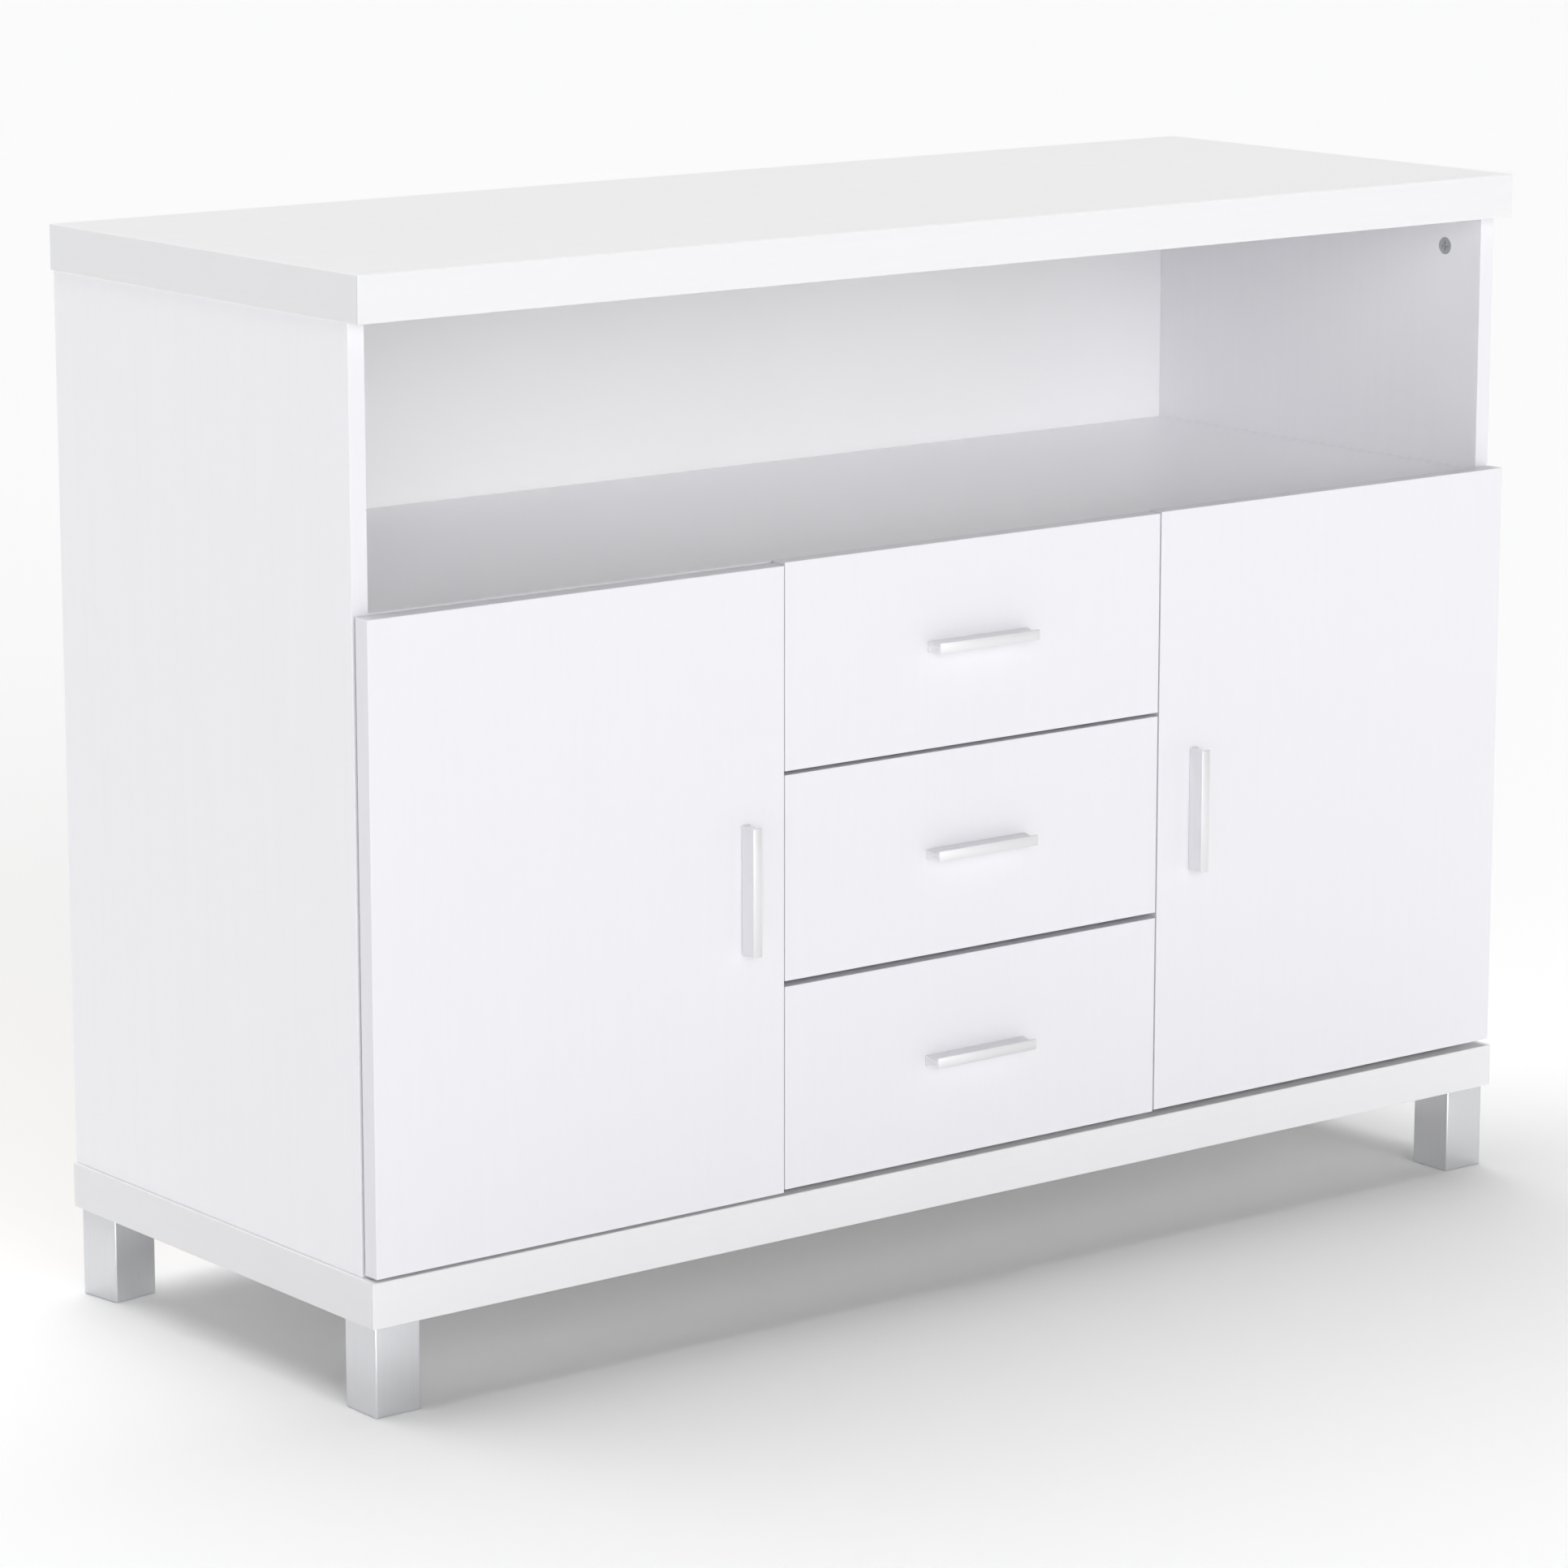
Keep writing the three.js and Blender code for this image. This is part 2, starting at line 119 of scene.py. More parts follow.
# the top and base faces, their edges, the fronts, the uprights and the levels are one white foil; their tones
# below differ by painted light and shade
boardLooks = {
    "slabFoil": {"light": (0.882, 0.881, 0.883), "dark": (0.850, 0.849, 0.853), "rough": (0.36, 0.46),
                 "stretch": (5, 120, 120), "grain": 3.0, "grainDepth": 0.00005, "peel": 900,
                 "peelDepth": 0.000008},
    # painted shade: the edges of the top and base take the white foil made darker than their faces
    "slabEdgeFoilPaintedShade": {"light": (0.812, 0.812, 0.826), "dark": (0.802, 0.802, 0.816), "rough": (0.36, 0.42),
                     "stretch": (5, 5, 60), "grain": 3.0, "grainDepth": 0.00001, "peel": 900,
                     "peelDepth": 0.00001},
    # painted shade: the doors, drawer fronts and front edges take the white foil made darker
    "frontFoilPaintedShade": {"light": (0.806, 0.801, 0.838), "dark": (0.798, 0.793, 0.829), "rough": (0.34, 0.4),
                  "stretch": (60, 60, 3), "grain": 3.0, "grainDepth": 0.000012, "peel": 700,
                  "peelDepth": 0.00001},
    # painted light: the side panels and dividers take the white foil made lighter
    "carcassFoilPaintedLight": {"light": (0.905, 0.902, 0.934), "dark": (0.893, 0.890, 0.922), "rough": (0.4, 0.48),
                    "stretch": (50, 50, 2.2), "grain": 3.0, "grainDepth": 0.00002, "peel": 800,
                    "peelDepth": 0.00001},
    # painted light: the shelves and compartment floor take the white foil made lighter, lifting their shade
    "levelFoilPaintedLight": {"light": (0.948, 0.946, 0.972), "dark": (0.940, 0.938, 0.964), "rough": (0.34, 0.36),
                  "gloss": 0.75, "stretch": (2.2, 50, 50), "grain": 3.0, "grainDepth": 0.00001, "peel": 800,
                  "peelDepth": 0.000006},
    "drawerFoil": {"light": (0.86, 0.86, 0.87), "dark": (0.835, 0.835, 0.848), "rough": (0.48, 0.58),
                   "stretch": (40, 2.4, 40), "grain": 3.0, "grainDepth": 0.00003, "peel": 800,
                   "peelDepth": 0.000012},
}


def boardFinish(name):
    look = boardLooks[name]
    finish, tree, shader = newFinish(name)
    grain = noiseOf(tree, patternPlace(tree, look["stretch"]), look["grain"], 6.0, 0.62)
    peel = noiseOf(tree, patternPlace(tree, (1, 1, 1)), look["peel"], 2.0)
    cloud = noiseOf(tree, patternPlace(tree, (1, 1, 1)), 3.0, 2.0)
    shade = blendOf(tree, rangeOf(tree, grain, 0, 1), look["dark"], look["light"])
    tree.links.new(shade, shader.inputs["Base Color"])
    tree.links.new(rangeOf(tree, cloud, *look["rough"], 0.1, 0.9), shader.inputs["Roughness"])
    under = bumpOf(tree, grain, look["grainDepth"])
    tree.links.new(bumpOf(tree, peel, look["peelDepth"], under), shader.inputs["Normal"])
    shader.inputs["Specular IOR Level"].default_value = look.get("gloss", 0.45)
    return finish


metalLooks = {
    "legMetal": {"light": (0.735, 0.74, 0.76), "dark": (0.712, 0.717, 0.737), "rough": (0.38, 0.44),
                 "stretch": (260, 260, 5), "depth": 0.000006},
    "levelHandleMetal": {"light": (0.87, 0.87, 0.88), "dark": (0.84, 0.84, 0.855), "rough": (0.46, 0.5),
                         "stretch": (4, 420, 420), "depth": 0.000004},
    "uprightHandleMetal": {"light": (0.87, 0.87, 0.88), "dark": (0.84, 0.84, 0.855), "rough": (0.46, 0.5),
                           "stretch": (420, 420, 4), "depth": 0.000004},
    "platedSteel": {"light": (0.72, 0.73, 0.74), "dark": (0.62, 0.63, 0.65), "rough": (0.18, 0.30),
                    "stretch": (60, 60, 60), "depth": 0.000004},
    "castZinc": {"light": (0.56, 0.565, 0.57), "dark": (0.42, 0.425, 0.43), "rough": (0.38, 0.55),
                 "stretch": (300, 300, 300), "depth": 0.00002},
}


def metalFinish(name):
    look = metalLooks[name]
    finish, tree, shader = newFinish(name)
    line = noiseOf(tree, patternPlace(tree, look["stretch"]), 3.0, 4.0)
    cloud = noiseOf(tree, patternPlace(tree, (1, 1, 1)), 25.0, 2.0)
    shade = blendOf(tree, rangeOf(tree, line, 0, 1), look["dark"], look["light"])
    tree.links.new(shade, shader.inputs["Base Color"])
    tree.links.new(rangeOf(tree, cloud, *look["rough"]), shader.inputs["Roughness"])
    tree.links.new(bumpOf(tree, line, look["depth"]), shader.inputs["Normal"])
    shader.inputs["Metallic"].default_value = 1.0
    return finish


coatLooks = {
    "coatedSteel": {"light": (0.80, 0.80, 0.79), "dark": (0.77, 0.77, 0.76), "rough": (0.28, 0.38),
                    "peel": 1400, "depth": 0.000015},
    "nylon": {"light": (0.84, 0.84, 0.82), "dark": (0.80, 0.80, 0.78), "rough": (0.42, 0.5), "peel": 600,
              "depth": 0.00001},
    "softBumper": {"light": (0.80, 0.81, 0.82), "dark": (0.76, 0.77, 0.78), "rough": (0.12, 0.2),
                   "peel": 300, "depth": 0.000004},
    "seamGlue": {"light": (0.56, 0.52, 0.48), "dark": (0.48, 0.44, 0.40), "rough": (0.5, 0.6), "peel": 900,
                 "depth": 0.00001},
    "footPlug": {"light": (0.10, 0.10, 0.105), "dark": (0.07, 0.07, 0.075), "rough": (0.45, 0.55),
                 "peel": 500, "depth": 0.00002},
    "hardboardFace": {"light": (0.905, 0.905, 0.92), "dark": (0.89, 0.89, 0.906), "rough": (0.46, 0.56),
                      "peel": 500, "depth": 0.00002},
}


def coatFinish(name):
    look = coatLooks[name]
    finish, tree, shader = newFinish(name)
    peel = noiseOf(tree, patternPlace(tree, (1, 1, 1)), look["peel"], 2.0)
    cloud = noiseOf(tree, patternPlace(tree, (1, 1, 1)), 4.0, 3.0)
    shade = blendOf(tree, rangeOf(tree, cloud, 0, 1), look["dark"], look["light"])
    tree.links.new(shade, shader.inputs["Base Color"])
    tree.links.new(rangeOf(tree, cloud, *look["rough"]), shader.inputs["Roughness"])
    tree.links.new(bumpOf(tree, peel, look["depth"]), shader.inputs["Normal"])
    return finish


rawLooks = {
    "fibreRear": {"light": (0.42, 0.29, 0.17), "dark": (0.29, 0.185, 0.10), "rough": (0.72, 0.85),
                  "chip": 420, "depth": 0.0001},
    "chipEdge": {"light": (0.62, 0.49, 0.32), "dark": (0.36, 0.25, 0.14), "rough": (0.8, 0.92), "chip": 260,
                 "depth": 0.0003},
}


def rawFinish(name):
    look = rawLooks[name]
    finish, tree, shader = newFinish(name)
    chips = tree.nodes.new("ShaderNodeTexVoronoi")
    chips.inputs["Scale"].default_value = look["chip"]
    tree.links.new(patternPlace(tree, (1, 1, 1)), chips.inputs["Vector"])
    fibre = noiseOf(tree, patternPlace(tree, (1, 1, 1)), look["chip"] * 0.4, 6.0, 0.7)
    shade = blendOf(tree, rangeOf(tree, fibre, 0, 1), look["dark"], look["light"])
    tree.links.new(shade, shader.inputs["Base Color"])
    tree.links.new(rangeOf(tree, fibre, *look["rough"]), shader.inputs["Roughness"])
    under = bumpOf(tree, fibre, look["depth"])
    relief = bumpOf(tree, chips.outputs["Distance"], look["depth"] * 0.5, under)
    tree.links.new(relief, shader.inputs["Normal"])
    return finish


finishes = {name: boardFinish(name) for name in boardLooks}
finishes.update({name: metalFinish(name) for name in metalLooks})
finishes.update({name: coatFinish(name) for name in coatLooks})
finishes.update({name: rawFinish(name) for name in rawLooks})
print("finishes made:", len(finishes))


def makePiece(name, shape, finishNames, body, stoodFor=(), smoothAngle=None):
    mesh = bpy.data.meshes.new(name)
    shape.to_mesh(mesh)
    shape.free()
    for finishName in finishNames:
        mesh.materials.append(finishes[finishName])
    if smoothAngle is not None:
        mesh.polygons.foreach_set("use_smooth", [True] * len(mesh.polygons))
        mesh.set_sharp_from_angle(angle=math.radians(smoothAngle))
    piece = bpy.data.objects.new(name, mesh)
    bpy.context.scene.collection.objects.link(piece)
    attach(piece, body)
    if stoodFor:
        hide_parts(*stoodFor)
    return piece


def nodeShape(node):
    shape = bmesh.new()
    shape.from_mesh(frame["nodes"][node].data)
    bmesh.ops.remove_doubles(shape, verts=shape.verts, dist=1e-6)
    bmesh.ops.dissolve_limit(shape, angle_limit=math.radians(1), verts=shape.verts, edges=shape.edges)
    return shape


def bevelEdges(shape, edges, radius, segments):
    bmesh.ops.bevel(shape, geom=edges, offset=radius, offset_type="OFFSET", segments=segments,
                    profile=0.5, affect="EDGES", clamp_overlap=True, material=-1)


def soften(shape, radius, segments, shortest, sharp=60):
    edges = [edge for edge in shape.edges
             if edge.calc_face_angle(0) > math.radians(sharp) and edge.calc_length() > shortest]
    bevelEdges(shape, edges, radius, segments)


def addCopy(shape, mesh, place):
    start = len(shape.verts)
    shape.from_mesh(mesh)
    shape.verts.ensure_lookup_table()
    bmesh.ops.transform(shape, matrix=place, verts=shape.verts[start:])


def meshOf(shape, name):
    mesh = bpy.data.meshes.new(name)
    shape.to_mesh(mesh)
    shape.free()
    return mesh


def facing(direction):
    return Vector(direction).to_track_quat("Z", "Y").to_matrix().to_4x4()


def ringAt(shape, radius, height, count):
    made = bmesh.ops.create_circle(shape, segments=count, radius=radius, cap_ends=False,
                                   matrix=Matrix.Translation((0, 0, height)))
    return list({edge for vert in made["verts"] for edge in vert.link_edges})


def turnedShape(outline, count, capLow=True, capHigh=True):
    # outline: (radius, height) pairs, from the bottom up
    shape = bmesh.new()
    rings = [ringAt(shape, radius, height, count) for radius, height in outline]
    for low, high in zip(rings, rings[1:]):
        bmesh.ops.bridge_loops(shape, edges=low + high)
    for ring, wanted in ((rings[0], capLow), (rings[-1], capHigh)):
        if wanted:
            bmesh.ops.contextual_create(shape, geom=ring)
    bmesh.ops.recalc_face_normals(shape, faces=shape.faces)
    return shape


# the fronts, uprights and levels take the white foil copies with painted light and shade
boards = {
    "slab": {"nodes": ["top_panel", "base_panel"], "finish": "slabFoil", "radius": 0.0009, "segments": 4},
    "front": {"nodes": ["left_door", "right_door"] + [f"{level}_drawer_front" for level in drawerLevels],
              "finish": "frontFoilPaintedShade", "radius": 0.0005, "segments": 3},
    "upright": {"nodes": ["left_side_panel", "right_side_panel", "left_divider", "right_divider"],
                "finish": "carcassFoilPaintedLight", "radius": 0.0004, "segments": 2},
    "level": {"nodes": ["compartment_floor", "left_shelf", "right_shelf"],
              "finish": "levelFoilPaintedLight", "radius": 0.0005, "segments": 2},
    "drawerBox": {"nodes": [f"{level}_drawer_{part}" for level in drawerLevels
                            for part in ("left_side", "right_side", "back")],
                  "finish": "drawerFoil", "radius": 0.0008, "segments": 3},
    "thin": {"nodes": ["back_panel"] + [f"{level}_drawer_bottom" for level in drawerLevels],
             "finish": "hardboardFace", "radius": 0.0002, "segments": 1},
}
edgeSeam = {"fromCorner": 0.0009, "width": 0.0003}
pinHoles = {"radius": 0.0025, "depth": 0.010, "pitch": 0.032, "rows": (-2, -1, 1, 2), "fromFront": 0.050,
            "fromBack": 0.050}
shelfPin = {"radius": 0.00245, "length": 0.008, "inBoard": 0.006, "tip": 0.0006, "flange": 0.0042,
            "flangeWall": 0.0008}


def outerEdges(shape):
    lows = [min(vert.co[i] for vert in shape.verts) for i in range(3)]
    highs = [max(vert.co[i] for vert in shape.verts) for i in range(3)]

    def sidesMet(vert):
        return sum(min(abs(vert.co[i] - lows[i]), abs(vert.co[i] - highs[i])) < 1e-5 for i in range(3))

    return [edge for edge in shape.edges
            if edge.calc_face_angle(0) > math.radians(60) and all(sidesMet(vert) >= 2 for vert in edge.verts)]


def paintFaces(shape, finishIndex, wanted):
    shape.normal_update()
    for face in shape.faces:
        if wanted(face.normal, face.calc_center_median()):
            face.material_index = finishIndex


def seamStrip(shape, node):
    # the front edging laps the end edging, and its glue line shows on each end
    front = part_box(node)[0].y + edgeSeam["fromCorner"]
    rear = front + edgeSeam["width"]
    for place in (front, rear):
        bmesh.ops.bisect_plane(shape, geom=shape.verts[:] + shape.edges[:] + shape.faces[:], dist=1e-7,
                               plane_co=(0, place, 0), plane_no=(0, 1, 0))
    paintFaces(shape, 1, lambda normal, middle: abs(normal.z) < 0.1)
    paintFaces(shape, 2, lambda normal, middle: abs(normal.x) > 0.9 and front < middle.y < rear)


def holeCutter(node, inward):
    low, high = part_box(node)
    wall = low.x if inward < 0 else high.x
    shelfLow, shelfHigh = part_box("left_shelf")
    cutter = bmesh.new()
    for across in (low.y + pinHoles["fromFront"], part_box("back_panel")[0].y - pinHoles["fromBack"]):
        for row in pinHoles["rows"]:
            level = shelfLow.z - shelfPin["radius"] + row * pinHoles["pitch"]
            at = Matrix.Translation((wall, across, level)) @ facing((inward, 0, 0))
            bmesh.ops.create_cone(cutter, cap_ends=True, segments=20, radius1=pinHoles["radius"],
                                  radius2=pinHoles["radius"], depth=2 * pinHoles["depth"], matrix=at)
    return meshOf(cutter, "holes")


def carve(mesh, cutter):
    solid, tool = bpy.data.objects.new("solid", mesh), bpy.data.objects.new("tool", cutter)
    for thing in (solid, tool):
        bpy.context.scene.collection.objects.link(thing)
    bore = solid.modifiers.new("bore", "BOOLEAN")
    bore.object, bore.operation, bore.solver = tool, "DIFFERENCE", "EXACT"
    carved = bpy.data.meshes.new_from_object(solid.evaluated_get(bpy.context.evaluated_depsgraph_get()))
    for thing in (solid, tool):
        bpy.data.objects.remove(thing)
    return carved


def makeBoards():
    rawRear = {"left_side_panel": "chipEdge", "right_side_panel": "chipEdge", "left_shelf": "chipEdge",
               "right_shelf": "chipEdge", "left_divider": "chipEdge", "right_divider": "chipEdge",
               "compartment_floor": "chipEdge", "back_panel": "fibreRear"}
    pinWalls = {"left_side_panel": 1, "right_side_panel": -1, "left_divider": -1, "right_divider": 1}
    for kind, group in boards.items():
        for node in group["nodes"]:
            shape = nodeShape(node)
            names = [group["finish"]]
            if kind == "slab":
                seamStrip(shape, node)
                # the slab edges take the darker foil copy, painted shade
                names += ["slabEdgeFoilPaintedShade", "seamGlue"]
            bevelEdges(shape, outerEdges(shape), group["radius"], group["segments"])
            if node in rawRear:
                names.append(rawRear[node])
                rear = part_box(node)[1].y - 0.0006
                paintFaces(shape, 1, lambda normal, middle: normal.y > 0.9 and middle.y > rear)
                if kind in ("upright", "level"):
                    # the front edges carry the same foil copy as the doors, darkened as painted shade
                    names.append("frontFoilPaintedShade")
                    paintFaces(shape, 2, lambda normal, middle: normal.y < -0.9)
            if node in pinWalls:
                bored = carve(meshOf(shape, node), holeCutter(node, pinWalls[node]))
                shape = bmesh.new()
                shape.from_mesh(bored)
            makePiece(f"{node}_board", shape, names, bodyOf[node], [node])


makeBoards()
print("boards made")


handleLook = {"wall": 0.002, "hollow": 0.0022, "lip": 0.0086, "lipShift": 0.0009, "steps": 14, "soft": 0.0003}


def handleOutline(width, depth):
    # (across, out): across from the lip's edge on the web's side, out from the front
    wall, lip, edge = handleLook["wall"], handleLook["lip"], handleLook["lipShift"]
    run = depth - 2 * wall
    hollow = []
    for i in range(handleLook["steps"] + 1):
        along = i / handleLook["steps"]
        hollow.append((edge + handleLook["hollow"] * math.sin(math.pi / 2 * along), wall + run * along))
    inner = [(across + wall, out) for across, out in reversed(hollow)]
    return [(width, 0), (edge, 0), *hollow, (0, depth - wall), (0, depth), (lip, depth), (lip, depth - wall),
            *inner, (width, wall)]


def makeHandle(node):
    low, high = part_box(node)
    upright = high.z - low.z > high.x - low.x
    width = high.x - low.x if upright else high.z - low.z
    shape = bmesh.new()
    corners = []
    for across, out in handleOutline(width, high.y - low.y):
        if upright:
            corners.append(shape.verts.new((low.x + across, high.y - out, low.z)))
        else:
            corners.append(shape.verts.new((low.x, high.y - out, high.z - across)))
    face = shape.faces.new(corners)
    along = Vector((0, 0, high.z - low.z)) if upright else Vector((high.x - low.x, 0, 0))
    grown = bmesh.ops.extrude_face_region(shape, geom=[face])
    farEnd = [grownPart for grownPart in grown["geom"] if isinstance(grownPart, bmesh.types.BMVert)]
    bmesh.ops.translate(shape, vec=along, verts=farEnd)
    bmesh.ops.recalc_face_normals(shape, faces=shape.faces)
    soften(shape, handleLook["soft"], 2, 0.0, 40)
    finish = "uprightHandleMetal" if upright else "levelHandleMetal"
    makePiece(f"{node}_profile", shape, [finish], bodyOf[node], [node], 35)


for node in sorted(frame["nodes"]):
    if node.endswith("_handle"):
        makeHandle(node)
print("handles made")


legLook = {"soft": 0.0004, "tubeWall": 0.0018, "plugPlay": 0.0002, "plugLift": 0.0006}


def makeLeg(node):
    shape = nodeShape(node)
    shape.normal_update()
    soften(shape, legLook["soft"], 2, 0.0, 70)
    shape.normal_update()
    foot = [max((face for face in shape.faces if face.normal.z < -0.99), key=lambda face: face.calc_area())]
    bmesh.ops.inset_region(shape, faces=foot, thickness=legLook["tubeWall"], depth=0)
    inner = bmesh.ops.inset_region(shape, faces=foot, thickness=legLook["plugPlay"], depth=-legLook["plugLift"])
    for face in foot + inner["faces"]:
        face.material_index = 1
    makePiece(f"{node}_post", shape, ["legMetal", "footPlug"], bodyOf[node], [node], 30)


for node in sorted(frame["nodes"]):
    if node.endswith("_leg"):
        makeLeg(node)
print("legs made")


fittings = {
    "_hinge_cup": {"finish": "platedSteel", "soft": 0.0003, "shortest": 0.0008, "smooth": 30},
    "_hinge_arm": {"finish": "platedSteel", "soft": 0.0004, "shortest": 0.001, "smooth": 30},
    "_cabinet_rail": {"finish": "coatedSteel", "soft": 0.0003, "shortest": 0.001, "smooth": 40},
    "_drawer_rail": {"finish": "coatedSteel", "soft": 0.0003, "shortest": 0.001, "smooth": 40},
    "_cam_lock": {"finish": "castZinc", "soft": 0.0002, "shortest": 0.0006, "smooth": 30},
}


def makeFitting(node, look):
    shape = nodeShape(node)
    soften(shape, look["soft"], 2, look["shortest"])
    makePiece(f"{node}_fitting", shape, [look["finish"]], bodyOf[node], [node], look["smooth"])


for node in sorted(frame["nodes"]):
    for ending, look in fittings.items():
        if node.endswith(ending):
            makeFitting(node, look)
print("fittings made")


screwLook = {"count": 24, "crossLength": 1.15, "crossWidth": 0.3, "crossDepth": 0.45, "sunk": 0.0005}


def screwMesh(radius, height, name):
    outline = [(radius, -screwLook["sunk"]), (radius, height * 0.35), (radius * 0.9, height * 0.72),
               (radius * 0.62, height)]
    head = meshOf(turnedShape(outline, screwLook["count"]), name)
    size = Matrix.Diagonal((radius * screwLook["crossLength"], radius * screwLook["crossWidth"],
                            height * screwLook["crossDepth"] * 2, 1))
    for turn in (0, math.pi / 2):
        bar = bmesh.new()
        at = Matrix.Translation((0, 0, height)) @ Matrix.Rotation(turn, 4, "Z")
        bmesh.ops.create_cube(bar, size=1, matrix=at @ size)
        head = carve(head, meshOf(bar, "bar"))
    return head


def scatter(name, mesh, places, finishName, body, smoothAngle=35):
    # places: (point, outward direction) pairs
    shape = bmesh.new()
    for point, outward in places:
        addCopy(shape, mesh, Matrix.Translation(point) @ facing(outward))
    return makePiece(name, shape, [finishName], body, (), smoothAngle)


def middleOf(node):
    low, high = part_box(node)
    return (low + high) / 2


hingeScrews = {"radius": 0.0033, "height": 0.0011, "wingInset": 0.0040, "plateInset": 0.0058,
               "plateWall": 0.002, "plateBack": 0.018, "barBack": (0.008, 0.030)}


def makeHingeScrews():
    head = screwMesh(hingeScrews["radius"], hingeScrews["height"], "hingeScrew")
    for side, inward in (("left", 1), ("right", -1)):
        onDoor, onPlate = [], []
        for level in ("lower", "upper"):
            low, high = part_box(f"{side}_door_{level}_hinge_cup")
            for z in (low.z + hingeScrews["wingInset"], high.z - hingeScrews["wingInset"]):
                onDoor.append(((middleOf(f"{side}_door_{level}_hinge_cup").x, high.y, z), (0, 1, 0)))
            low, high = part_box(f"{side}_door_{level}_hinge_arm")
            wall = (low.x if inward > 0 else high.x) + inward * hingeScrews["plateWall"]
            bar = high.x if inward > 0 else low.x
            plateMiddle = high.y - hingeScrews["plateBack"]
            for z in (low.z + hingeScrews["plateInset"], high.z - hingeScrews["plateInset"]):
                onPlate.append(((wall, plateMiddle, z), (inward, 0, 0)))
            for back in hingeScrews["barBack"]:
                onPlate.append(((bar, high.y - back, (low.z + high.z) / 2), (inward, 0, 0)))
        scatter(f"{side}_hinge_cup_screws", head, onDoor, "platedSteel", f"{side}_door")
        scatter(f"{side}_hinge_plate_screws", head, onPlate, "platedSteel", "cabinet")


handleScrews = {"radius": 0.0038, "height": 0.0021, "apart": 0.064}


def makeHandleScrews():
    head = screwMesh(handleScrews["radius"], handleScrews["height"], "handleScrew")
    half = handleScrews["apart"] / 2
    for node in sorted(frame["nodes"]):
        if not node.endswith("_handle"):
            continue
        front = node[:-7] if "door" in node else node[:-7] + "_front"
        back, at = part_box(front)[1].y, middleOf(node)
        along = Vector((0, 0, half)) if "door" in node else Vector((half, 0, 0))
        places = [((at.x + step.x, back, at.z + step.z), (0, 1, 0)) for step in (along, -along)]
        scatter(f"{node}_screws", head, places, "platedSteel", bodyOf[node])


bumper = {"radius": 0.003, "height": 0.0022, "fromEdge": 0.0036, "fromEnd": 0.012}


def makeBumpers():
    r, h = bumper["radius"], bumper["height"]
    outline = [(r, 0), (r, h * 0.3), (r * 0.85, h * 0.75), (r * 0.5, h * 0.97), (r * 0.15, h)]
    dome = meshOf(turnedShape(outline, 20), "bumper")
    for side, outward in (("left", -1), ("right", 1)):
        low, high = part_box(f"{side}_door")
        x = (high.x if outward < 0 else low.x) + outward * bumper["fromEdge"]
        ends = (low.z + bumper["fromEnd"], high.z - bumper["fromEnd"])
        places = [((x, high.y, z), (0, 1, 0)) for z in ends]
        scatter(f"{side}_door_bumpers", dome, places, "softBumper", f"{side}_door", 60)
    for level in drawerLevels:
        low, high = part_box(f"{level}_drawer_front")
        places = [((x, high.y, high.z - bumper["fromEnd"]), (0, 1, 0))
                  for x in (low.x + bumper["fromEdge"], high.x - bumper["fromEdge"])]
        scatter(f"{level}_drawer_bumpers", dome, places, "softBumper", f"{level}_drawer", 60)


roller = {"radius": 0.0095, "width": 0.0064, "fromWall": 0.0022, "fromEnd": 0.012, "underTrack": 0.00015,
          "overFlange": 0.0003, "railSteel": 0.0012, "sideSteel": 0.0013,
          "axle": 0.0024, "cap": 0.0040}


def rollerMeshes():
    r, w = roller["radius"], roller["width"]
    wheel = turnedShape([(r * 0.5, 0), (r * 0.86, 0), (r, w * 0.16), (r, w * 0.84), (r * 0.86, w),
                         (r * 0.62, w), (r * 0.58, w * 0.86), (r * 0.3, w * 0.86)], 48)
    a, c = roller["axle"], roller["cap"] * 0.8
    outline = [(a, -roller["fromWall"]), (a, w * 0.8), (c, w * 0.86), (c, w * 0.93), (a, w * 1.02)]
    axle = turnedShape(outline, 24)
    return meshOf(wheel, "wheel"), meshOf(axle, "axle")


def addRoller(name, wheel, axle, at, way, body):
    places = [(at, (way, 0, 0))]
    scatter(name, wheel, places, "nylon", body)
    scatter(f"{name}_axle", axle, places, "platedSteel", body)


def makeRollers():
    wheel, axle = rollerMeshes()
    for level in drawerLevels:
        for side, outward in (("left", -1), ("right", 1)):
            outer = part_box(f"{level}_drawer_{side}_cabinet_rail")
            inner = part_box(f"{level}_drawer_{side}_drawer_rail")
            steel = roller["railSteel"]
            wall = (outer[0].x + steel) if outward < 0 else (outer[1].x - steel)
            track = inner[1].z - steel
            at = (wall - outward * roller["fromWall"], outer[0].y + roller["fromEnd"],
                  track - roller["underTrack"] - roller["radius"])
            addRoller(f"{level}_{side}_cabinet_roller", wheel, axle, at, -outward, "cabinet")
            # the drawer's own roller runs inside the channel, on its lower flange
            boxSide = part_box(f"{level}_drawer_{side}_side")
            face = (boxSide[0].x - roller["sideSteel"]) if outward < 0 else (boxSide[1].x + roller["sideSteel"])
            at = (face + outward * roller["fromWall"] * 0.5, inner[1].y - roller["fromEnd"],
                  outer[0].z + steel + roller["overFlange"] + roller["radius"])
            addRoller(f"{level}_{side}_drawer_roller", wheel, axle, at, outward, f"{level}_drawer")


runnerScrews = {"radius": 0.003, "height": 0.0014, "lift": 0.020, "ends": (0.037, 0.200, 0.350)}
boxScrews = {"radius": 0.0034, "height": 0.0005, "heights": (0.045, 0.095), "fromRear": 0.006}


